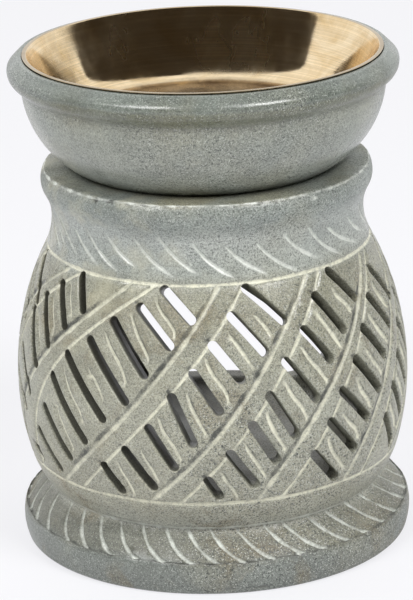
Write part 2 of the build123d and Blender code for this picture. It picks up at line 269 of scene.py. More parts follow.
# Points closer than weld_gap are one, and shorter edges than sliver are taken out.
weld_gap = 0.004
sliver = 0.0005

# Waves left by hand work, as depth and length, and heights and radii between which they set in:
# above the foot's underside, outside the dish's rest on the neck, and below that rest.
long_wave, short_wave = (0.06, 9), (0.03, 2.2)
foot_calm = (0.5, 4)
rest_calm_radius = (27, 30)
rest_calm_height = (70, 76)

# The waves' noise starts from the clock unless it is given a seed, and no run would repeat another.
wave_seed = 1
noise.seed_set(wave_seed)


def tangent_arc(start, way, end, steps=40):
    """Points of the arc that leaves start along way and ends at end."""
    start, end, way = np.array(start, float), np.array(end, float), np.array(way, float)
    way /= np.hypot(*way)
    side = np.array((-way[1], way[0]))
    chord = end - start
    bend = 2 * (chord @ side) / (chord @ chord)
    length = 2 * math.atan2(chord @ side, chord @ way) / bend
    reach = np.linspace(0, length, steps)[:, None]
    return start + np.sin(bend * reach) / bend * way + (1 - np.cos(bend * reach)) / bend * side


def arc_through(start, middle, end):
    """Points of the arc from start to end through middle."""
    a, b, c = (np.array(p, float) for p in (start, middle, end))
    first, second = a - c, b - c
    turn = math.atan2(first[0] * second[1] - first[1] * second[0], first @ second)
    chord = b - a
    way = (
        chord[0] * math.cos(turn) + chord[1] * math.sin(turn),
        chord[1] * math.cos(turn) - chord[0] * math.sin(turn),
    )
    return tangent_arc(a, way, c)


def last_way(points):
    """Direction in which a line of points ends."""
    return points[-1] - points[-2]


def length_along(line):
    """Way covered along a line of points, at each of them."""
    return np.append(0, np.cumsum(np.hypot(*np.diff(line, axis=0).T)))


def points_at(places, reach, line):
    """Points at places along a line, whose own points lie at reach."""
    return np.stack([np.interp(places, reach, line[:, i]) for i in (0, 1)], axis=1)


def closer_at_bends(reach, way, step, bend):
    """Places along a line a step apart, and closer where its direction turns by more than bend."""
    turn = np.abs(np.gradient(np.unwrap(np.arctan2(way[:, 1], way[:, 0])), reach))
    density = np.maximum(1 / step, turn / bend)
    total = np.append(0, np.cumsum((density[1:] + density[:-1]) / 2 * np.diff(reach)))
    return np.interp(np.linspace(0, total[-1], int(math.ceil(total[-1])) + 1), total, reach)


def thin_out(line, step, bend):
    """Fewer points of a fine line: a step apart, and closer where it bends."""
    reach = length_along(line)
    return points_at(closer_at_bends(reach, np.gradient(line, reach, axis=0), step, bend), reach, line)


def soften(pieces, radius=0.3, step=0.05):
    """One line through all the pieces, evenly spaced, with its corners rounded off."""
    points = np.vstack(pieces)
    points = points[np.append(True, np.hypot(*np.diff(points, axis=0).T) > 1e-6)]
    reach = length_along(points)
    line = points_at(np.linspace(0, reach[-1], int(reach[-1] / step)), reach, points)
    half = int(radius / step)
    kernel = np.hanning(2 * half + 3)
    kernel /= kernel.sum()
    padded = np.vstack([
        2 * line[0] - line[half + 1:0:-1], line, 2 * line[-1] - line[-2:-half - 3:-1]
    ])
    return np.stack([np.convolve(padded[:, i], kernel, "valid") for i in (0, 1)], axis=1)


def belly_arc(height):
    """How far the belly draws in to its upper or lower end, and the rise from its widest to there."""
    if height >= belly_height:
        return belly_radius - shoulder_radius, shoulder_height - belly_height
    return belly_radius - low_ring_radius, low_ring_height - belly_height


def radius_outside(height):
    """Radius of the belly's outside at a height."""
    inset, reach = belly_arc(height)
    arc_radius = (reach ** 2 + inset ** 2) / (2 * inset)
    return belly_radius - arc_radius + math.sqrt(arc_radius ** 2 - (height - belly_height) ** 2)


def tilt_outside(height):
    """Angle by which the belly's outside faces up at a height, below zero where it faces down."""
    inset, reach = belly_arc(height)
    return math.asin((height - belly_height) * 2 * inset / (reach ** 2 + inset ** 2))


def lamp_outline():
    """Turned outline of the lamp: underside, outside, neck top, mouth, chamber, floor."""
    foot_edge = (foot_edge_radius, foot_edge_height)
    step = (foot_edge_radius - foot_step, foot_edge_height - foot_step)
    joint = (waist_radius, waist_height)
    slope = ((step[0] + joint[0]) / 2 + foot_slope_rise, (step[1] + joint[1]) / 2 + foot_slope_rise)
    belly, low_ring = (belly_radius, belly_height), (low_ring_radius, low_ring_height)
    shoulder, top = (shoulder_radius, shoulder_height), (neck_top_radius, neck_top_height)
    low_belly = tangent_arc(belly, (0, -1), low_ring)
    inner = (belly_radius - belly_wall, belly_height)
    roof = (radius_outside(chamber_top_height) - belly_wall, chamber_top_height)
    side = (radius_outside(chamber_side_height) - belly_wall, chamber_side_height)
    return soften([
        [(0, 0)],
        tangent_arc(foot_round, (0, -1), (foot_flat_radius, 0))[::-1],
        arc_through(foot_round, foot_bulge, foot_edge),
        arc_through(step, slope, joint),
        tangent_arc(low_ring, last_way(low_belly), joint)[::-1],
        low_belly[::-1],
        tangent_arc(belly, (0, 1), shoulder),
        tangent_arc(neck, (0, -1), shoulder)[::-1],
        tangent_arc(neck, (0, 1), neck_flare),
        arc_through(neck_flare, neck_ring, top),
        [(mouth_radius + mouth_chamfer, neck_top_height), (mouth_radius, neck_top_height - mouth_chamfer)],
        [(mouth_radius, mouth_low_height)],
        tangent_arc(inner, (0, 1), roof)[::-1],
        tangent_arc(inner, (0, -1), side),
        tangent_arc((chamber_floor_radius, chamber_floor_height), (1, 0), side)[::-1],
        [(0, chamber_floor_height)],
    ])


outline = lamp_outline()
outline_reach = length_along(outline)
outline_way = np.gradient(outline, outline_reach, axis=0)
outline_way /= np.hypot(*outline_way.T)[:, None]


def outline_index(radius, height):
    """Number of the outline's point nearest to a radius and height."""
    return int(np.argmin(np.hypot(outline[:, 0] - radius, outline[:, 1] - height)))


foot_index = outline_index(underside_radius, 0)
step_index = outline_index(foot_edge_radius - foot_step, foot_edge_height - foot_step)
top_index = outline_index(top_join_radius, neck_top_height)
floor_index = outline_index(floor_join_radius, chamber_floor_height)


def along(part, height):
    """Way along the outline to a height in a part of it that rises."""
    return np.interp(height, np.maximum.accumulate(outline[part, 1]), outline_reach[part])


def along_outside(height):
    """Way along the outline to a height on the lamp's outside, above the foot's edge."""
    return along(slice(step_index, top_index), height)


def along_inside(height):
    """Way along the outline to a height on the inside."""
    return along(slice(floor_index, top_index, -1), height)


def ring_at(reach):
    """Radius, height and the two parts of the outward normal at a way along the outline."""
    values = outline[:, 0], outline[:, 1], outline_way[:, 1], -outline_way[:, 0]
    return [np.interp(reach, outline_reach, value) for value in values]


def band_height(share):
    """Height at a share of the band between the two rings."""
    return low_ring_height + share * (high_ring_height - low_ring_height)


def cubic(values, share):
    """Value at a share of the band of the cubic through values at four even levels."""
    levels = np.linspace(0, 1, len(values))
    return np.polyval(np.polyfit(levels, values, len(values) - 1), share)


def smooth_share(value, low, high):
    """Share from 0 at low to 1 at high, easing in and out."""
    share = np.clip((value - low) / (high - low), 0, 1)
    return share * share * (3 - 2 * share)


def wrapped(turn):
    """An angle in radians brought to within half a turn of zero."""
    return (turn + math.pi) % (2 * math.pi) - math.pi


def door_line(gap, step=0.8):
    """Right half of the doorway's outline, grown by a gap, from its sill to its top: across, up."""
    half, bend = door_width / 2 + gap, door_corner_radius + gap
    sill = door_sill_height - gap
    corner = np.linspace(0, math.pi / 2, max(3, int(bend * math.pi / 2 / step)))
    arch = np.linspace(0, math.pi / 2, int(half * math.pi / 2 / step))
    flat_sill = np.linspace(0, half - bend, max(2, int((half - bend) / step)))[:-1]
    count = int((door_spring_height - sill - bend) / step)
    side = np.linspace(sill + bend, door_spring_height, count)[1:-1]
    return np.vstack([
        np.stack([flat_sill, np.full(len(flat_sill), sill)], axis=1),
        np.stack([half - bend + bend * np.sin(corner), sill + bend - bend * np.cos(corner)], axis=1),
        np.stack([np.full(len(side), half), side], axis=1),
        np.stack([half * np.cos(arch), door_spring_height + half * np.sin(arch)], axis=1),
    ])


def door_gap(turn, radius, height):
    """Distance outside the doorway's edge, below zero inside it."""
    across = np.abs(radius * np.sin(turn))
    half, bend = door_width / 2, door_corner_radius
    beside, below = across - half + bend, door_sill_height + bend - height
    clear = np.hypot(np.maximum(beside, 0), np.maximum(below, 0))
    low = clear + np.minimum(np.maximum(beside, below), 0) - bend
    high = np.hypot(across, height - door_spring_height) - half
    gap = np.where(height > door_spring_height, high, low)
    return np.where(np.cos(turn) < 0, gap, far_away)


def in_door_border(turn, height):
    """True where a slot's end, in degrees round and height, would lie in the doorway's border."""
    turn, half = math.radians(turn), door_width / 2 + door_border
    beside = abs(radius_outside(height) * math.sin(turn)) < half
    low, high = door_sill_height - door_border, door_spring_height + half
    return math.cos(turn) < 0 and beside and low < height < high


def plain_slots(ribbon):
    """Slots of a strip at the sides and back, as the CAD source spaces them."""
    turns, band = ribbon_turns[ribbon], high_ring_height - low_ring_height
    slots, share = [], 1 - slot_ring_gap / 2 / band
    while band_height(share) - slot_drop > low_ring_height + slot_ring_gap / 2:
        radius = radius_outside(band_height(share))
        start = cubic(turns, share) + math.degrees(slot_width / 2 / radius)
        end = start + math.degrees(slot_drop / math.tan(math.radians(slot_lean)) / radius)
        slots.append((start, share, end, share - slot_drop / band))
        step = slot_pitch / band / 2
        run = math.radians(cubic(turns, share) - cubic(turns, share - step)) * radius
        share -= slot_pitch / band * (slot_pitch / 2) / math.hypot(run, slot_pitch / 2)
    return slots


Slot = namedtuple("Slot", "turn height radius tilt across rise")


def make_slot(ends):
    """A slot cut square to the belly: where its middle is, its tilt, and its run across and down."""
    start, start_share, end, end_share = ends
    high, low = band_height(start_share), band_height(end_share)
    middle = (high + low) / 2
    radius, tilt = radius_outside(middle), tilt_outside(middle)
    turn = wrapped(math.radians((start + end) / 2 + pattern_turn))
    across, rise = radius * math.radians(end - start), (high - low) / math.cos(tilt)
    return Slot(turn, middle, radius, tilt, across, rise)


plain_rows = [plain_slots(ribbon) for ribbon in plain_ribbons]
slots = [
    make_slot(ends) for ends in front_slot_shares + [ends for row in plain_rows for ends in row]
    if not any(in_door_border(ends[i] + pattern_turn, band_height(ends[i + 1])) for i in (0, 2))
]


def slot_gaps(turn, radius, height):
    """Distance outside the nearest slot's edge, below zero inside a slot."""
    gaps = np.full(len(turn), far_away)
    for slot in slots:
        aside = wrapped(turn - slot.turn)
        reach = slot.rise / 2 + slot_width + slot_slack
        near = np.flatnonzero((np.abs(aside) < near_turn) & (np.abs(height - slot.height) < reach))
        x, out = radius[near] * np.sin(aside[near]), radius[near] * np.cos(aside[near]) - slot.radius
        z = (height[near] - slot.height) * math.cos(slot.tilt) - out * math.sin(slot.tilt)
        share = (x * slot.across - z * slot.rise) / (slot.across ** 2 + slot.rise ** 2)
        share = np.clip(share, -0.5, 0.5)
        gap = np.hypot(x - share * slot.across, z + share * slot.rise) - slot_width / 2
        gaps[near] = np.minimum(gaps[near], gap)
    return gaps


def slot_line(slot, gap, step=0.85, bend_steps=9):
    """A slot's outline grown by a gap, going round to the left: across and up from its middle."""
    half, radius = math.hypot(slot.across, slot.rise) / 2, slot_width / 2 + gap
    side = np.linspace(-half, half, max(3, int(2 * half / step)))
    bend = np.linspace(-math.pi / 2, math.pi / 2, bend_steps + 1)[1:-1]
    along = np.concatenate([side, half + radius * np.cos(bend), -side, -half - radius * np.cos(bend)])
    aside = np.concatenate([
        np.full(len(side), -radius), radius * np.sin(bend),
        np.full(len(side), radius), -radius * np.sin(bend),
    ])
    c, s = slot.across / 2 / half, -slot.rise / 2 / half
    return np.stack([along * c - aside * s, along * s + aside * c], axis=1)


def lay_slot(slot, line, inside=False):
    """Laid-flat places where a line drawn in a slot's plane, moved square to it, meets the skin."""
    low, high = [np.full(len(line), depth) for depth in (inside_depths if inside else outside_depths)]
    for _ in range(halvings):
        deep = (low + high) / 2
        out = slot.radius + deep * math.cos(slot.tilt) - line[:, 1] * math.sin(slot.tilt)
        height = slot.height + line[:, 1] * math.cos(slot.tilt) + deep * math.sin(slot.tilt)
        reach = along_inside(height) if inside else along_outside(height)
        beyond = np.hypot(line[:, 0], out) > ring_at(reach)[0]
        low, high = np.where(beyond, low, deep), np.where(beyond, deep, high)
    return np.stack([(slot.turn + np.arctan2(line[:, 0], out)) * flat_radius, reach], axis=1)


def lay_door(line, side, inside=False):
    """Laid-flat places of the doorway's outline on one side of the seam, +1 right or -1 left."""
    reach = along_inside(line[:, 1]) if inside else along_outside(line[:, 1])
    turn = math.pi - np.arcsin(line[:, 0] / ring_at(reach)[0])
    return np.stack([side * turn * flat_radius, reach], axis=1)


# A cut is a line on the laid-flat skin with, at each point, its depth, its width to either
# side, the half width of its coloured trace, and how much cream dust, dark mark and grey
# chalk that trace shows.
Cut = namedtuple("Cut", "line depth left right trace dust mark chalk")
cuts = []


def even_line(points, step):
    """A line rounded at its corners and spaced evenly, and how far along it each point lies."""
    line = np.array(points, float)
    for _ in range(3):
        near, far = 0.75 * line[:-1] + 0.25 * line[1:], 0.25 * line[:-1] + 0.75 * line[1:]
        inner = np.stack([near, far], axis=1).reshape(-1, 2)
        line = np.vstack([line[:1], inner[1:-1], line[-1:]]) if len(inner) > 2 else line
    reach = length_along(line)
    even = np.linspace(0, reach[-1], max(3, int(reach[-1] / step) + 1))
    return points_at(even, reach, line), even


def add_cut(
    points, depth, left, right, trace=0.25, dust=0.0, mark=0.0, chalk=0.0,
    ends=(0.8, 0.8), widen=1.0, swell=0.0, wobble=0.25,
):
    """Adds a cut along laid-flat points, with tapering ends and an unsteady hand.

    Its unsteadiness depends on how many cuts there are before it, so their order is kept.
    """
    line, reach = even_line(points, line_step)
    hand = 1 + wobble * np.array([noise.noise(Vector((0.45 * u, 0.45 * v, len(cuts)))) for u, v in line])
    taper = np.minimum(np.clip(reach / ends[0], 0, 1), np.clip((reach[-1] - reach) / ends[1], 0, 1))
    radius, height, _, _ = ring_at(line[:, 1])
    clear = door_gap(line[:, 0] / flat_radius, radius, height) > door_border - 0.05
    strength = hand * taper * np.where((height > low_ring_height) & (height < high_ring_height), clear, 1)
    width = hand * (1 + (widen - 1) * reach / reach[-1]) * (0.55 + 0.45 * taper)
    full = trace * width * (1 + swell * np.sin(math.pi * reach / reach[-1]))
    low_turn, high_turn = line[:, 0].min(), line[:, 0].max()
    for shift in (-flat_width, 0, flat_width):
        if high_turn + shift > -flat_width / 2 - 2 and low_turn + shift < flat_width / 2 + 2:
            cuts.append(Cut(
                line + (shift, 0), depth * strength, left * width, right * width, full,
                dust * strength, mark * strength, chalk * strength,
            ))


def at_height(turns, heights):
    """Laid-flat places of the pattern's points, in degrees round and height on the outside."""
    turns = np.radians(np.array(turns) + pattern_turn)
    return np.stack([turns * flat_radius, along_outside(np.array(heights, float))], axis=1)


def ring_cut(height, **looks):
    """A cut all round the lamp at one height, waving a little."""
    turns = np.linspace(-200, 200, 161)
    waves = 0.1 * np.sin(np.radians(turns) * 3 + height) + 0.05 * np.sin(np.radians(turns) * 11)
    add_cut(at_height(turns, height + waves), **looks)


def cut_ribbons():
    """The two lines along each ribbon, with the rough tool mark beside the upper one."""
    shares = np.linspace(0.0, 1.0, 40)
    heights = band_height(shares)
    for number, turns in enumerate(ribbon_turns):
        lower = cubic(turns, shares)
        upper = lower - cubic(ribbon_spans.get(number, usual_span), shares)
        add_cut(
            at_height(lower, heights), depth=0.36, left=0.42, right=0.46,
            trace=0.36, dust=1.0, ends=(0.2, 0.2), wobble=0.45,
        )
        add_cut(
            at_height(upper, heights), depth=0.3, left=0.7, right=0.4,
            trace=0.42, dust=0.62, ends=(0.2, 0.2), wobble=0.7,
        )
        rough = at_height(upper, heights) + (-0.7, 0.45)
        add_cut(
            rough[3:-3], depth=0.22, left=0.35, right=0.45,
            trace=0.42, mark=0.8, ends=(3, 3), wobble=1.4,
        )


def cut_curves():
    """The S-shaped cuts between the slots, each with a dark scratch beside it."""
    shares = np.array(plain_curve_shares)
    lines = [np.array(curve, float) for curve in front_curves]
    for row in plain_rows:
        for first, second in zip(row, row[1:]):
            start, start_share, end, end_share = (np.array(first) + second) / 2
            ends = (start, band_height(start_share)), (end, band_height(end_share))
            if any(in_door_border(turn + pattern_turn, height) for turn, height in ends):
                continue
            turns = start + (end - start) * shares[:, 0]
            heights = band_height(start_share + (end_share - start_share) * shares[:, 1])
            lines.append(np.stack([turns, heights], axis=1))
    for line in lines:
        cut = at_height(line[:, 0], line[:, 1])
        add_cut(
            cut, depth=0.46, left=0.42, right=1.05,
            trace=0.24, dust=1.0, ends=(1.0, 0.8), widen=1.1, swell=0.6,
        )
        add_cut(
            cut[:-1] + (0.42, 0.2), depth=0.1, left=0.2, right=0.2,
            trace=0.2, mark=0.45, ends=(1.5, 1.5), wobble=0.9,
        )


def cut_neck():
    """The slanting strokes round the neck, thin at the top and fading out wide below."""
    shares = np.array(neck_stroke_shares)
    strokes = list(neck_strokes)
    turn = strokes[-1][0] + neck_stroke_step
    while turn < strokes[0][0] + 360 - neck_stroke_step / 2:
        sway = 1.5 * math.sin(turn * 1.7)
        strokes.append((turn, 69.4 + 0.4 * sway, turn + 15.2 + sway, 63.0 + 0.3 * sway))
        turn += neck_stroke_step + 0.3 * sway
    for top_turn, top, bottom_turn, bottom in strokes:
        turns = top_turn + (bottom_turn - top_turn) * shares[:, 0]
        heights = top + (bottom - top) * shares[:, 1]
        add_cut(
            at_height(turns, heights), depth=0.3, left=0.36, right=0.36,
            trace=0.34, chalk=1.0, ends=(0.8, 3.4), widen=1.5,
        )


def cut_foot():
    """The strokes down the foot's sloping top."""
    joint = along_outside(np.array([waist_height]))[0]
    edge = outline_reach[step_index]
    shares = np.array(foot_stroke_shares)
    starts = list(foot_stroke_turns)
    while starts[-1] + 1.5 * foot_stroke_step < starts[0] + 360:
        starts.append(starts[-1] + foot_stroke_step * (1 + 0.08 * math.sin(starts[-1])))
    for start in starts:
        turns = np.radians(start + shares[:, 1] + pattern_turn)
        line = np.stack([turns * flat_radius, joint + (edge - joint) * shares[:, 0]], axis=1)
        add_cut(
            line, depth=0.34, left=0.36, right=0.36,
            trace=0.33, chalk=0.8, ends=(0.1, 0.7), widen=1.5, wobble=0.6,
        )


def cut_edges():
    """The worn lines round the waist's foot joint and the neck's top edge, and two dark lines of painted
    shade along the step at the foot's edge.
    """
    ring_cut(waist_height + 0.55, depth=0.12, left=0.5, right=0.5, trace=0.5, chalk=0.8, wobble=0.6)
    ring_cut(neck_top_height - 0.22, depth=0.08, left=0.3, right=0.3, trace=0.22, chalk=0.62, wobble=1.9)
    turns = np.linspace(-200, 200, 241)
    # Painted shade: two dark lines along the step at the foot's edge.
    for rise in (-0.1, -0.45):
        reach = outline_reach[step_index] + rise + 0.05 * np.sin(turns)
        line = np.stack([np.radians(turns) * flat_radius, reach], axis=1)
        add_cut(line, depth=0.14, left=0.3, right=0.3, trace=0.3, mark=0.6, wobble=1.3)


def cut_chips():
    """The small chips along the neck's top edge and the foot's edges."""
    for number, (turn, height, length, dark, chalk) in enumerate(chips):
        if height > foot_edge_height:
            reach = float(along_outside(height))
        else:
            low = slice(foot_index, step_index)
            reach = float(np.interp(height, outline[low, 1], outline_reach[low]))
        middle = np.array([math.radians(turn + pattern_turn) * flat_radius, reach])
        across = np.array([length / 2, 0.2 * math.sin(number * 2.1)])
        line = np.array([middle - across, middle + (0, 0.15), middle + across])
        add_cut(
            line, depth=0.3, left=0.42, right=0.36,
            trace=0.4, mark=dark, chalk=chalk, ends=(0.5, 0.5), wobble=1.2,
        )


def cut_nicks():
    """The dark nick where each slot's upper end meets its ribbon."""
    for number, slot in enumerate(slots):
        half = math.hypot(slot.across, slot.rise) / 2
        way = np.array([-slot.across, slot.rise]) / 2 / half
        top = way * (half + slot_width / 2 + 0.35)
        nick = np.array([top - (0.75, 0.5), top, top + (0.7, 0.35 + 0.2 * math.sin(number))])
        add_cut(
            lay_slot(slot, nick), depth=0.2, left=0.3, right=0.3,
            trace=0.34, mark=0.85, ends=(0.4, 0.4), wobble=1.3,
        )


def cut_door_border():
    """The line carved round the doorway."""
    border = door_line(door_border, step=1.5)
    right = lay_door(border, 1)
    left = lay_door(border[::-1], -1) + (flat_width, 0)
    add_cut(
        np.vstack([right, left[1:]]), depth=0.32, left=0.4, right=0.4,
        trace=0.34, dust=0.9, ends=(0.2, 0.2),
    )


def cut_all():
    """All the cuts, in the order on which their unsteadiness depends."""
    for height in (high_ring_height, low_ring_height):
        ring_cut(height, depth=0.34, left=0.45, right=0.45, trace=0.38, dust=1.0, wobble=0.4)
    for cut_some in (
        cut_ribbons, cut_curves, cut_neck, cut_foot, cut_edges, cut_chips, cut_nicks, cut_door_border,
    ):
        cut_some()


def carve(places):
    """Depth of the deepest cut at each laid-flat place, and its dust, mark and chalk."""
    depth = np.zeros(len(places))
    looks = np.zeros((len(places), 3))
    for cut in cuts:
        margin = max(cut.left.max(), cut.right.max(), cut.trace.max())
        low, high = cut.line.min(0) - margin, cut.line.max(0) + margin
        near = np.flatnonzero(((places >= low) & (places <= high)).all(1))
        if len(near) == 0:
            continue
        way = np.diff(cut.line, axis=0)
        offset = places[near, None] - cut.line[:-1]
        share = np.clip((offset * way).sum(2) / (way ** 2).sum(1), 0, 1)
        distance = np.hypot(*np.moveaxis(offset - share[..., None] * way, 2, 0))
        part = distance.argmin(1)
        row = np.arange(len(near))
        share, distance, offset, way = share[row, part], distance[row, part], offset[row, part], way[part]
        on_left = way[:, 0] * offset[:, 1] - way[:, 1] * offset[:, 0] > 0

        def there(values):
            return values[part] * (1 - share) + values[part + 1] * share

        width = np.where(on_left, there(cut.left), there(cut.right))
        profile = np.clip(1 - (distance / np.maximum(width, 0.05)) ** 2, 0, 1)
        depth[near] = np.maximum(depth[near], there(cut.depth) * profile)
        shown = np.clip(2.1 * (1 - distance / np.maximum(there(cut.trace), 0.05)), 0, 1)[:, None]
        seen = np.stack([there(cut.dust), there(cut.mark), there(cut.chalk)], axis=1) * shown
        looks[near] = np.maximum(looks[near], seen)
    return depth, looks


def edge_fillet(gap, radius):
    """How deep a rounded edge lies below the skin at a gap from a cut-out."""
    inset = np.clip(radius - gap, 0, radius)
    return radius - np.sqrt(radius ** 2 - inset ** 2)


def unevenness(points, amount=1.0):
    """The small waves that hand work leaves in a surface."""
    (long_depth, long_length), (short_depth, short_length) = long_wave, short_wave
    waves = [
        long_depth * noise.noise_vector(point / long_length)
        + short_depth * noise.noise_vector(point / short_length)
        for point in map(Vector, points)
    ]
    return amount * np.array(waves)


def skin(places):
    """Points of the carved skin at laid-flat places, and their looks."""
    turn = places[:, 0] / flat_radius
    radius, height, out, up = ring_at(places[:, 1])
    depth, looks = np.zeros(len(places)), np.zeros((len(places), 4))
    outer = places[:, 1] < outline_reach[top_index]
    depth[outer], looks[outer, :3] = carve(places[outer])
    # Painted shade: the fourth look is a shade share, from nothing at the neck's top to full inside, that
    # darkens the inside.
    looks[:, 3] = smooth_share(places[:, 1], outline_reach[top_index], outline_reach[top_index] + 6)
    part = turn[outer], radius[outer], height[outer]
    depth[outer] = np.maximum(depth[outer], edge_fillet(slot_gaps(*part), edge_round))
    depth[outer] = np.maximum(depth[outer], edge_fillet(door_gap(*part), door_edge_round))
    radius, height = radius - out * depth, height - up * depth
    points = np.stack([radius * np.sin(turn), -radius * np.cos(turn), height], axis=1)
    return points, looks


def rows_between(low, high, step):
    """Ways along the outline from low to high, a step apart and closer where it bends."""
    part = (outline_reach >= low) & (outline_reach <= high)
    return closer_at_bends(outline_reach[part], outline_way[part], step, row_turn)


def closest(points, others):
    """Distance from each point to the nearest of the others."""
    tree = KDTree(len(others))
    for i, (u, v) in enumerate(others):
        tree.insert((u, v, 0), i)
    tree.balance()
    return np.array([tree.find((u, v, 0))[2] for u, v in points])


def thinned(points, apart):
    """Points without those that share a small square with an earlier one."""
    _, first = np.unique(np.round(points / apart), axis=0, return_index=True)
    return points[np.sort(first)]


def open_gap(places):
    """Distance outside the nearest slot or doorway edge at laid-flat places."""
    radius, height, _, _ = ring_at(places[:, 1])
    turn = places[:, 0] / flat_radius
    return np.minimum(slot_gaps(turn, radius, height), door_gap(turn, radius, height))


def cut_rows():
    """Rows of points along every cut: its middle, its sides and just beyond."""
    rows = []
    for cut in cuts:
        shown = cut.depth > 0.02
        way = np.gradient(cut.line, axis=0)
        way /= np.hypot(*way.T)[:, None]
        aside = np.stack([-way[:, 1], way[:, 0]], axis=1)
        rows.append(cut.line[shown])
        for side, width in ((1, cut.left), (-1, cut.right)):
            for away in (0.55 * cut.trace, 1.1 * cut.trace, np.maximum(width, 1.5 * cut.trace)):
                rows.append((cut.line + side * away[:, None] * aside)[shown])
    return np.vstack(rows)


def lay_out_skin():
    """The laid-flat skin as triangles, with the outlines of its slots and doorway."""
    low, top, high = outline_reach[foot_index], outline_reach[top_index], outline_reach[floor_index]
    loops = [[lay_slot(slot, slot_line(slot, 0), inside) for inside in (False, True)] for slot in slots]
    doors = [[lay_door(door_line(0), side, inside) for inside in (False, True)] for side in (1, -1)]
    fixed, edges, count = [], [], 0
    for pairs, closed in ((loops, True), (doors, False)):
        for loop in (loop for pair in pairs for loop in pair):
            edges += [(count + i, count + i + 1) for i in range(len(loop) - 1)]
            edges += [(count + len(loop) - 1, count)] if closed else []
            fixed.append(loop)
            count += len(loop)
    half = flat_width / 2
    levels = np.append(rows_between(low, top, skin_step), rows_between(top, high, inside_step)[1:])
    seam = [v for v in levels if open_gap(np.array([(half, v)]))[0] > border_clear]
    turns = np.linspace(-half, half, turns_round + 1)
    border = [(side * half, v) for side in (-1, 1) for v in seam]
    border += [(u, v) for v in (low, high) for u in turns[1:-1]]
    close = [lay_slot(slot, slot_line(slot, gap)) for slot in slots for gap in slot_rows]
    close += [lay_slot(slot, slot_line(slot, 0.6), inside=True) for slot in slots]
    close += [lay_door(door_line(gap), side) for side in (1, -1) for gap in door_rows]
    close = np.vstack(close)
    kept = np.vstack([*fixed, border])

    def with_more(kept, more, apart):
        across, reach = np.abs(more[:, 0]), more[:, 1]
        inner = (reach > low + border_clear) & (reach < high - border_clear)
        more = more[inner & (across < half - border_clear)]
        more = more[open_gap(more) > opening_clear]
        return np.vstack([kept, more[closest(more, kept) > apart]])

    kept = with_more(kept, thinned(close, edge_points_apart), edge_points_apart)
    kept = with_more(kept, thinned(cut_rows(), cut_points_square), cut_points_apart)
    grid = np.array([(u, v) for v in levels for u in turns[1:-1]])
    spacing = np.tile(np.gradient(levels)[:, None], (1, len(turns) - 2)).ravel()
    inner = (grid[:, 1] > low + 0.05) & (grid[:, 1] < high - 0.05)
    grid, spacing = grid[inner], spacing[inner]
    free = (open_gap(grid) > 0.25) & (closest(grid, kept) > 0.55 * np.clip(spacing, 0.1, 1.2))
    kept = np.vstack([kept, grid[free]])
    found = geometry.delaunay_2d_cdt([Vector(p) for p in kept], edges, [], 0, 1e-6, False)
    places = np.array([tuple(p) for p in found[0]])
    faces = np.array(found[2])
    middle = places[faces].mean(1)
    return places, faces[open_gap(middle) > -weld_gap], loops, doors


def wall_between(outer, inner, closed, rows=3):
    """Points, looks and faces of the cut wall from a laid-flat outline to the inside one."""
    first, looks = skin(outer)
    last, _ = skin(inner)
    shares = np.insert(np.linspace(0, 1, rows), 1, wall_first_row)
    points = np.vstack([first * (1 - s) + last * s for s in shares])
    number = len(outer)
    ring = [(i, (i + 1) % number) for i in range(number if closed else number - 1)]
    faces = [
        (level * number + b, level * number + a, (level + 1) * number + a, (level + 1) * number + b)
        for level in range(rows) for a, b in ring
    ]
    # Painted shade: the wall's rows behind its edge get a shade share from 0.75 to 1 that darkens them.
    dark = [np.tile((0, 0, 0, 0.75 + 0.25 * s), (number, 1)) for s in shares[1:]]
    return points, np.vstack([looks, *dark]), faces


def on_circle(radius, turn, height):
    """A point at a turn round the axis from the front, to the right."""
    return radius * math.sin(turn), -radius * math.cos(turn), height


def put(name, data):
    """A new object in the scene."""
    thing = bpy.data.objects.new(name, data)
    bpy.context.scene.collection.objects.link(thing)
    return thing


def disc(reach, height, facing):
    """Points and faces of a flat disc that closes the skin's first or last ring."""
    turns = np.linspace(-math.pi, math.pi, turns_round + 1)[:-1]
    radii = [reach, reach * 0.8, reach * 0.5, reach * 0.2]
    points = [on_circle(r, t, height) for r in radii for t in turns] + [(0, 0, height)]
    faces = []
    for i in range(turns_round):
        j = (i + 1) % turns_round
        for level in range(len(radii) - 1):
            a, b = level * turns_round, (level + 1) * turns_round
            faces.append((a + i, a + j, b + j, b + i))
        faces.append((b + i, b + j, len(points) - 1))
    # Painted shade: a disc that faces up, the chamber's floor, gets a full shade share; the underside gets
    # none.
    looks = np.tile([0, 0, 0, max(0, facing)], (len(points), 1)).astype(float)
    return np.array(points), looks, [f if facing > 0 else f[::-1] for f in faces]


def mesh_piece(name, parts, body, node):
    """Welds parts, each of points, looks and faces in millimetres, into one riding piece."""
    points = np.vstack([p for p, _, _ in parts])
    looks = np.vstack([c for _, c, _ in parts])
    faces, start = [], 0
    for part, _, part_faces in parts:
        faces += [tuple(start + int(i) for i in face) for face in part_faces]
        start += len(part)
    mesh = bpy.data.meshes.new(name)
    mesh.from_pydata(points.tolist(), [], faces)
    colour = mesh.attributes.new("carving_and_painted_shade", "FLOAT_COLOR", "POINT")
    colour.data.foreach_set("color", looks.astype(np.float32).ravel())
    work = bmesh.new()
    work.from_mesh(mesh)
    bmesh.ops.remove_doubles(work, verts=work.verts, dist=weld_gap)
    bmesh.ops.dissolve_degenerate(work, edges=work.edges, dist=sliver)
    bmesh.ops.recalc_face_normals(work, faces=work.faces)
    bmesh.ops.scale(work, vec=(MM, MM, MM), verts=work.verts)
    work.to_mesh(mesh)
    work.free()
    mesh.shade_smooth()
    piece = put(name, mesh)
    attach(piece, body)
    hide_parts(node)
    return piece


def settle(points):
    """Adds the hand-worked waves, but none where the lamp stands or the dish rests."""
    radius = np.hypot(points[:, 0], points[:, 1])
    amount = smooth_share(points[:, 2], *foot_calm)
    resting = (1 - smooth_share(radius, *rest_calm_radius)) * smooth_share(points[:, 2], *rest_calm_height)
    amount *= 1 - resting
    return points + unevenness(points) * amount[:, None]


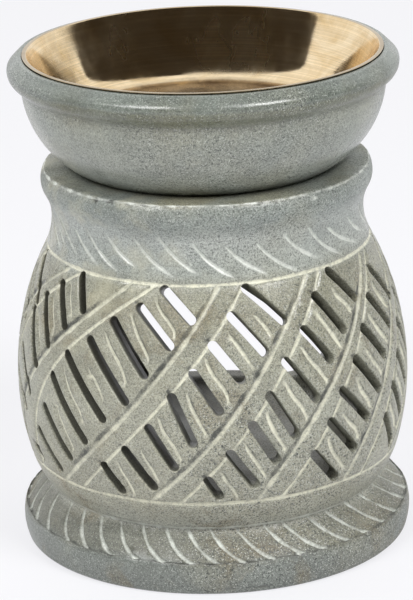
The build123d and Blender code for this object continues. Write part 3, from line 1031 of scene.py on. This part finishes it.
def carved_body():
    """The lamp: its carved skin inside and out, the walls of its slots and doorway, and two discs."""
    places, faces, loops, doors = lay_out_skin()
    parts = [(*skin(places), faces)]
    parts += [wall_between(outer, inner, True) for outer, inner in loops]
    for number, (outer, inner) in enumerate(doors):
        points, looks, wall = wall_between(outer, inner, False, rows=5)
        parts.append((points, looks, wall if number else [f[::-1] for f in wall]))
    parts.append(disc(underside_radius, 0.0, -1))
    parts.append(disc(floor_join_radius, chamber_floor_height, 1))
    parts = [(settle(points), looks, wall) for points, looks, wall in parts]
    return mesh_piece("carved_body", parts, "lamp", "stone_body")


def lathe(line, steps=lathe_turns):
    """Points, looks and faces of an open line of radius and height turned about the axis."""
    turns = np.linspace(0, 2 * math.pi, steps + 1)[:-1]
    on_axis = line[:, 0] < 0.01
    points, rings = [], []
    for (radius, height), single in zip(line, on_axis):
        start = len(points)
        if single:
            points.append((0, 0, height))
            rings.append([start] * steps)
        else:
            points += [on_circle(radius, t, height) for t in turns]
            rings.append(list(range(start, start + steps)))
    faces = []
    for low, high in zip(rings, rings[1:]):
        for i in range(steps):
            j = (i + 1) % steps
            corners = dict.fromkeys((low[i], low[j], high[j], high[i]))
            if len(corners) > 2:
                faces.append(tuple(corners))
    return np.array(points), np.zeros((len(points), 4)), faces


def liner_line(shift):
    """The liner's floor, bend and wall, moved out and down by a shift from its inside."""
    lean = math.radians(liner_wall_lean)
    floor = liner_floor_height - shift
    rim = liner_rim_radius + shift / math.cos(lean)
    corner = rim - (liner_rim_height - floor) * math.tan(lean)
    length = (liner_bend_radius + shift) * math.tan(math.radians((90 - liner_wall_lean) / 2))
    bend_end = (corner + length * math.sin(lean), floor + length * math.cos(lean))
    bend = tangent_arc((corner - length, floor), (1, 0), bend_end)
    return np.vstack([[(0, floor)], bend, [(rim, liner_rim_height)]])


def brass_bowl():
    """The spun liner: floor, bend, wall, rounded rim, and down outside again, faintly rippled."""
    inside, outside = liner_line(0), liner_line(liner_thickness)
    line = thin_out(soften([inside, outside[::-1]], radius=0.22, step=0.03), 1.1, math.radians(12))
    points, looks, faces = lathe(line)
    turn = np.arctan2(points[:, 0], -points[:, 1])
    radius = np.hypot(points[:, 0], points[:, 1])
    inner = smooth_share(radius, 3, 20)
    points[:, 2] += inner * 0.03 * np.sin(2 * turn + 0.6) * np.sin(radius * 0.55)
    return mesh_piece("spun_bowl", [(points, looks, faces)], "dish", "brass_liner")


def turned_dish():
    """The dish: seat for the liner, rolled lip, bulging side, seat on the neck, spigot and hollow."""
    seat = liner_line(liner_thickness + liner_bond_gap)
    slope = (seat[-1] - seat[-2]) / (seat[-1] - seat[-2])[1]
    lip_inner = seat[-1] + slope * (lip_crown[1] - liner_rim_height)
    spigot_radius = mouth_radius - spigot_clearance
    spigot_height = neck_top_height - spigot_depth
    hollow_top = (0, spigot_height + spigot_recess_depth)
    hollow = tangent_arc(hollow_top, (1, 0), (spigot_recess_radius, spigot_height))
    line = soften([
        seat[:-1],
        [lip_inner],
        [lip_crown],
        tangent_arc(lip, (0, 1), lip_turn)[::-1],
        tangent_arc(lip, (0, -1), lip_under),
        arc_through(dish_side, dish_low, (dish_seat_radius, neck_top_height)),
        [(spigot_radius, neck_top_height), (spigot_radius, spigot_height)],
        hollow[::-1],
    ], radius=0.14, step=0.03)
    points, looks, faces = lathe(thin_out(line, 1.2, math.radians(10)))
    amount = smooth_share(points[:, 2], neck_top_height + 1, neck_top_height + 4)
    points += unevenness(points, 0.8) * amount[:, None]
    return mesh_piece("turned_dish", [(points, looks, faces)], "dish", "stone_dish")


def srgb(red, green, blue):
    """A colour given as it looks on a screen, out of 255, as linear light."""
    shares = [c / 255 for c in (red, green, blue)]
    linear = [c / 12.92 if c <= 0.04045 else ((c + 0.055) / 1.055) ** 2.4 for c in shares]
    return (*linear, 1.0)


def new_material(name):
    """An empty material: itself, its node tree, its shader, and the object coordinates."""
    material = bpy.data.materials.new(name)
    material.use_nodes = True
    tree = material.node_tree
    return material, tree, tree.nodes["Principled BSDF"], add(tree, "ShaderNodeTexCoord").outputs["Object"]


def add(tree, kind, sockets=None, **settings):
    """A new node with its settings; sockets maps an input to a value or to another's output."""
    made = tree.nodes.new(kind)
    for name, value in settings.items():
        setattr(made, name, value)
    feed(tree, made, sockets or {})
    return made


def feed(tree, node, sockets):
    """Gives a node's inputs their values, or links them to other nodes' outputs."""
    for key, value in sockets.items():
        if isinstance(value, bpy.types.NodeSocket):
            tree.links.new(value, node.inputs[key])
        else:
            node.inputs[key].default_value = value


def grain(tree, place, scale, detail=2.0, rough=0.55, stretch=(1, 1, 1), twist=0.0):
    """A noise value from 0 to 1; scale counts waves in a metre."""
    moved = add(tree, "ShaderNodeMapping", {"Vector": place, "Scale": stretch})
    made = add(tree, "ShaderNodeTexNoise", {
        "Vector": moved.outputs[0], "Scale": scale, "Detail": detail, "Roughness": rough,
        "Distortion": twist,
    })
    return made.outputs["Fac"]


def span(tree, value, low, high, to_low=0.0, to_high=1.0):
    """A value from low to high brought to the share between two others, and held there."""
    return add(tree, "ShaderNodeMapRange", {
        "Value": value, "From Min": low, "From Max": high, "To Min": to_low, "To Max": to_high,
    }).outputs[0]


def calc(tree, operation, first, second):
    """Two values put together by an operation."""
    return add(tree, "ShaderNodeMath", {0: first, 1: second}, operation=operation).outputs[0]


def times(tree, first, second):
    """Two values multiplied."""
    return calc(tree, "MULTIPLY", first, second)


def mix(tree, share, first, second, way="MIX"):
    """Two colours mixed by a share."""
    made = add(tree, "ShaderNodeMix", {0: share, 6: first, 7: second}, data_type="RGBA", blend_type=way)
    return made.outputs[2]


def over(tree, base, *layers):
    """A colour with others laid over it in turn, each by its share."""
    for share, colour in layers:
        base = mix(tree, share, base, colour)
    return base


def shaded(tree, base, *factors):
    """A colour multiplied by each of some factors."""
    for factor in factors:
        base = mix(tree, 1.0, base, factor, "MULTIPLY")
    return base


def relief(tree, *layers):
    """Relief from some heights, each with its strength and its depth in metres."""
    normal = None
    for height, strength, depth in layers:
        sockets = {"Strength": strength, "Distance": depth, "Height": height}
        if normal is not None:
            sockets["Normal"] = normal
        normal = add(tree, "ShaderNodeBump", sockets).outputs[0]
    return normal


def ramp(tree, value, stops):
    """A colour looked up between stops, each of a value and a colour as it looks on a screen."""
    made = add(tree, "ShaderNodeValToRGB", {"Fac": value})
    marks = made.color_ramp.elements
    while len(marks) < len(stops):
        marks.new(1.0)
    for mark, (place, colour) in zip(marks, stops):
        mark.position = place
        mark.color = srgb(*colour)
    return made.outputs["Color"]


# Colours of the lamp's stone by height, as a share of 100 mm, and of the dish's between its
# lowest and highest part, as a share of the way from 74 mm to 100 mm.
body_tones = [
    (0.0, (118, 123, 117)), (0.060, (125, 130, 124)), (0.072, (108, 109, 97)),
    # Painted light: the pale tone at 0.125, on the waist under the belly, is lifted to offset the shade
    # there.
    (0.105, (119, 120, 108)), (0.125, (184, 185, 174)), (0.165, (162, 161, 144)),
    (0.20, (164, 163, 146)), (0.36, (166, 166, 150)), (0.60, (152, 151, 133)),
    (0.63, (168, 172, 164)), (0.70, (176, 181, 176)), (0.735, (138, 145, 139)),
    (0.768, (136, 141, 134)), (0.7735, (128, 127, 108)),
]
dish_tones = [
    (0.0, (132, 136, 127)), (0.2, (143, 147, 138)), (0.55, (148, 152, 142)),
    (0.72, (144, 146, 132)), (0.785, (96, 98, 76)), (0.86, (100, 102, 80)),
    # Painted shade: the lip's own blue-grey from 0.885 up is made darker against the light on its upward
    # face.
    (0.885, (112, 118, 108)), (1.0, (114, 120, 112)),
]
stone_shine = 0.75


def stone_surface(tree, place, base, speckle, cool, stain):
    """Soapstone over a base colour: its colour, its grain's height and its sanding lines."""
    cloud = span(tree, grain(tree, place, 30, 4, 0.6, twist=0.5), 0.42, 0.66)
    warm = span(tree, grain(tree, place, 48, 3, 0.6, twist=0.3), 0.5, 0.7, 0.0, 0.35)
    brown = span(tree, grain(tree, place, 75, 5, 0.65, twist=0.7), 0.54, 0.7)
    patch = span(tree, grain(tree, place, 150, 4, 0.65), 0.28, 0.72, 0.84, 1.16)
    lines = span(tree, grain(tree, place, 45, 4, 0.75, stretch=(1, 1, 46)), 0.28, 0.72, 0.87, 1.13)
    fine = grain(tree, place, 3600, 2, 0.8)
    even = span(tree, fine, 0.32, 0.68, 0.55, 1.42)
    dots = span(tree, grain(tree, place, 2300, 3, 0.75), 0.465, 0.385)
    light = span(tree, grain(tree, place, 3300, 2, 0.75), 0.58, 0.67)
    toned = over(
        tree, base, (times(tree, cloud, cool), srgb(132, 141, 138)), (warm, srgb(158, 155, 133)),
        (times(tree, brown, stain), srgb(118, 106, 78)),
    )
    toned = over(
        tree, shaded(tree, toned, patch, lines, even),
        (times(tree, dots, speckle), srgb(60, 65, 61)),
        (times(tree, light, speckle), srgb(206, 209, 202)),
    )
    return toned, fine, lines


def finish_stone(tree, shader, place, surface, roughness, depth, rubbed_more=0.0):
    """The stone's colour, its dull shine, rubbed brighter in patches, and its relief."""
    toned, fine, lines = surface
    rubbed = span(tree, grain(tree, place, 70, 3, 0.6), 0.4, 0.62, *roughness)
    feed(tree, shader, {
        "Base Color": toned,
        "Roughness": calc(tree, "SUBTRACT", rubbed, rubbed_more),
        "Specular IOR Level": stone_shine,
        "Normal": relief(tree, (fine, depth, 0.00015), (lines, 0.65 * depth, 0.0003)),
    })


def carved_stone():
    """Soapstone of the lamp: coloured by height, dusty in its cuts, rubbed dark beside them, with painted
    shade in its slot walls, doorway walls and inside, and along the foot's step.
    """
    material, tree, shader, place = new_material("carved_soapstone")
    across, _, height = add(tree, "ShaderNodeSeparateXYZ", {0: place}).outputs
    waver = span(tree, grain(tree, place, 60), 0.0, 1.0, -0.02, 0.02)
    base = ramp(tree, calc(tree, "ADD", times(tree, height, 10.0), waver), body_tones)
    spread = span(tree, grain(tree, place, 22, 2), 0.36, 0.6, 0.45, 1.1)
    speckle = times(tree, spread, span(tree, across, -0.025, 0.012, 0.7, 1.0))
    cool = span(tree, height, 0.058, 0.066, 0.12, 0.6)
    stain = span(tree, height, 0.064, 0.058, 0.06, 0.62)
    toned, fine, lines = stone_surface(tree, place, base, speckle, cool, stain)
    dusty = times(tree, span(tree, height, 0.036, 0.05), span(tree, across, 0.012, -0.012))
    dusty = times(tree, dusty, span(tree, grain(tree, place, 130, 3, 0.6), 0.5, 0.66, 0.0, 0.3))
    carving_and_painted_shade = add(tree, "ShaderNodeAttribute", attribute_name="carving_and_painted_shade").outputs
    looks = add(tree, "ShaderNodeSeparateColor", {0: carving_and_painted_shade["Color"]}).outputs
    crumb = span(tree, grain(tree, place, 1300, 4, 0.8), 0.34, 0.56, 0.35, 1.0)
    dust, mark, chalk = [times(tree, look, crumb) for look in looks]
    # Painted shade: slot walls, doorway walls and the inside are darkened, less towards the right where
    # the light falls.
    painted_shade = times(tree, carving_and_painted_shade["Alpha"], span(tree, across, -0.006, 0.012, 0.8, 0.12))
    # The dark mark colour also paints the shade lines along the foot's step.
    toned = over(
        tree, toned, (dusty, srgb(205, 200, 172)), (mark, srgb(70, 72, 66)),
        (calc(tree, "MINIMUM", dust, 0.95), srgb(234, 233, 212)),
        (calc(tree, "MINIMUM", chalk, 0.92), srgb(222, 226, 218)), (painted_shade, srgb(48, 47, 42)),
    )
    rise = span(tree, height, 0.052, 0.059, 0.0, 0.12)
    shoulder = times(tree, rise, span(tree, height, 0.069, 0.064))
    finish_stone(tree, shader, place, (toned, fine, lines), (0.35, 0.55), 0.2, shoulder)
    return material


def dish_stone():
    """Soapstone of the dish: smoother, greener under the lip."""
    material, tree, shader, place = new_material("turned_soapstone")
    height = add(tree, "ShaderNodeSeparateXYZ", {0: place}).outputs[2]
    waver = span(tree, grain(tree, place, 120, 3), 0.2, 0.8, -0.0003, 0.0003)
    base = ramp(tree, span(tree, calc(tree, "ADD", height, waver), 0.074, 0.1), dish_tones)
    speckle = span(tree, grain(tree, place, 40), 0.36, 0.66, 0.35, 0.95)
    surface = stone_surface(tree, place, base, speckle, 0.5, 0.16)
    finish_stone(tree, shader, place, surface, (0.22, 0.36), 0.14)
    return material


def spun_brass():
    """Polished brass with rings left by spinning, a floor darkened as a painted dark reflection, and a
    darker rim.
    """
    material, tree, shader, place = new_material("spun_brass")
    across, deep, height = add(tree, "ShaderNodeSeparateXYZ", {0: place}).outputs
    flat_place = add(tree, "ShaderNodeCombineXYZ", {0: across, 1: deep}).outputs[0]
    radius = add(tree, "ShaderNodeVectorMath", {0: flat_place}, operation="LENGTH").outputs["Value"]
    profile = add(tree, "ShaderNodeCombineXYZ", {0: radius, 1: height}).outputs[0]
    rings = grain(tree, profile, 1900, 3, 0.75)
    broad = grain(tree, profile, 320, 2, 0.6)
    stain = grain(tree, place, 90, 5, 0.65, twist=0.8)
    tint = mix(tree, span(tree, stain, 0.42, 0.72), (0.92, 0.75, 0.5, 1), (0.7, 0.5, 0.25, 1))
    tint = shaded(tree, tint, span(tree, rings, 0.3, 0.7, 0.78, 1.16))
    level = calc(tree, "ADD", height, span(tree, stain, 0.3, 0.7, -0.0003, 0.0003))
    painted_reflection_patches = span(tree, grain(tree, place, 140, 4, 0.65, twist=0.5), 0.36, 0.64, 0.72, 0.95)
    # Painted reflection: the floor is darkened to dark brown in place of a dark reflection.
    floor = times(tree, span(tree, level, 0.0868, 0.0861), painted_reflection_patches)
    rim = times(tree, span(tree, radius, 0.03466, 0.03486), 0.6)
    streaks = grain(tree, place, 75, 4, 0.65, stretch=(1, 1, 0.25))
    feed(tree, shader, {
        "Base Color": over(tree, tint, (floor, (0.075, 0.038, 0.015, 1)), (rim, (0.2, 0.16, 0.11, 1))),
        "Metallic": 1.0,
        "Roughness": span(tree, streaks, 0.38, 0.68, 0.10, 0.36),
        "Normal": relief(tree, (rings, 0.10, 0.00005), (broad, 0.16, 0.00012)),
    })
    return material


def seen_rays(tree):
    """1 for the rays that show a background: the camera's own, and those of shine and of glass."""
    path = add(tree, "ShaderNodeLightPath").outputs
    shown = calc(tree, "MAXIMUM", path["Is Camera Ray"], path["Is Glossy Ray"])
    return calc(tree, "MAXIMUM", shown, path["Is Transmission Ray"])


def stage_sheet(name, paint, points, faces, looks):
    """A surface around the object, in metres, and its material's tree and shader."""
    mesh = bpy.data.meshes.new(name)
    mesh.from_pydata(points, [], faces)
    sheet = put(name, mesh)
    material, tree, shader, _ = new_material(paint)
    feed(tree, shader, looks)
    mesh.materials.append(material)
    return sheet, tree, shader


def lay_floor():
    """A pale floor that shows white to the camera, shine and glass, and keeps the shadow."""
    reach = 6.0
    corners = [(-reach, -reach, 0), (reach, -reach, 0), (reach, reach, 0), (-reach, reach, 0)]
    floor, tree, shader = stage_sheet("floor", "pale_floor", corners, [(0, 1, 2, 3)], {
        "Base Color": (0.82, 0.82, 0.84, 1), "Roughness": 0.9,
    })
    white = add(tree, "ShaderNodeEmission", {"Color": (0.97, 0.97, 1.0, 1), "Strength": 1.0})
    share = times(tree, seen_rays(tree), 0.72)
    blend = add(tree, "ShaderNodeMixShader", {0: share, 1: shader.outputs[0], 2: white.outputs[0]})
    feed(tree, tree.nodes["Material Output"], {"Surface": blend.outputs[0]})
    return floor


# How far round from the front the photograph was taken, so that the doorway stays at +Y.
view_turn = math.radians(4.0 + pattern_turn)


def make_camera():
    """The camera that the photograph was taken from, worked out from its turned circles."""
    yaw, pitch, roll = -0.00136, 0.32445, -0.0323
    distance, height, focal_pixels, image_height = 598.5, 248.9, 3132.0, 600
    forward = Vector((math.sin(yaw) * math.cos(pitch), math.cos(yaw) * math.cos(pitch), -math.sin(pitch)))
    right = Vector((math.cos(yaw), -math.sin(yaw), 0))
    up = right.cross(forward)
    level, rolled = math.cos(roll), math.sin(roll)
    axes = Matrix((level * right + rolled * up, level * up - rolled * right, -forward)).transposed()
    round_object = Matrix.Rotation(view_turn, 4, "Z")
    data = bpy.data.cameras.new("camera")
    data.sensor_width = 36.0
    data.lens = focal_pixels / image_height * data.sensor_width
    camera = put("camera", data)
    place = Matrix.Translation(Vector((0, -distance, height)) * MM)
    camera.matrix_world = round_object @ place @ axes.to_4x4()
    bpy.context.scene.camera = camera


def area_light(name, aside, rise, distance, size, power):
    """A soft square light at an angle aside from the view and above the floor, aimed at the object."""
    data = bpy.data.lights.new(name, "AREA")
    data.size, data.energy = size, power
    light = put(name, data)
    turn, rise = math.radians(aside) + view_turn, math.radians(rise)
    way = Vector((math.sin(turn) * math.cos(rise), -math.cos(turn) * math.cos(rise), math.sin(rise)))
    light.location = way * distance + Vector((0, 0, 0.05))
    light.rotation_euler = way.to_track_quat("Z", "Y").to_euler()
    return light


def dark_wall():
    """A dark curved wall behind the camera, which the brass shows and the camera doesn't."""
    away, left_end, right_end, top = 2.4, -90, 106, 84
    turns = np.radians(np.linspace(left_end, right_end, 69)) + view_turn
    rises = np.radians(np.linspace(0, top, 25))
    points = [on_circle(away * math.cos(r), t, away * math.sin(r)) for r in rises for t in turns]
    number = len(turns)
    faces = [
        (row * number + i, row * number + i + 1, (row + 1) * number + i + 1, (row + 1) * number + i)
        for row in range(len(rises) - 1) for i in range(number - 1)
    ]
    wall, _, _ = stage_sheet("dark_wall", "dark_wall_paint", points, faces, {
        "Base Color": (0.09, 0.075, 0.058, 1), "Roughness": 1.0, "Specular IOR Level": 0.0,
    })
    wall.visible_camera = False


def light_scene(lit):
    """A white room, a dark wall in front, and two soft boxes on the stone and the floor."""
    world = bpy.data.worlds.new("studio")
    bpy.context.scene.world = world
    world.use_nodes = True
    tree = world.node_tree
    shade = mix(tree, seen_rays(tree), (0.95, 0.95, 0.95, 1), (1.0, 1.0, 1.0, 1))
    feed(tree, tree.nodes["Background"], {"Color": shade})
    dark_wall()
    receivers = bpy.data.collections.new("lit_by_boxes")
    for thing in lit:
        receivers.objects.link(thing)
    for name, aside, power in (("right_box", 42, 6.2), ("left_box", -42, 5.3)):
        box = area_light(name, aside, rise=45, distance=1.0, size=0.34, power=power)
        box.light_linking.receiver_collection = receivers


cut_all()
body, dish, bowl = carved_body(), turned_dish(), brass_bowl()
for piece, material in ((body, carved_stone()), (dish, dish_stone()), (bowl, spun_brass())):
    piece.data.materials.append(material)
floor = lay_floor()
make_camera()
light_scene((body, dish, floor))
bpy.context.scene.view_settings.view_transform = "Standard"
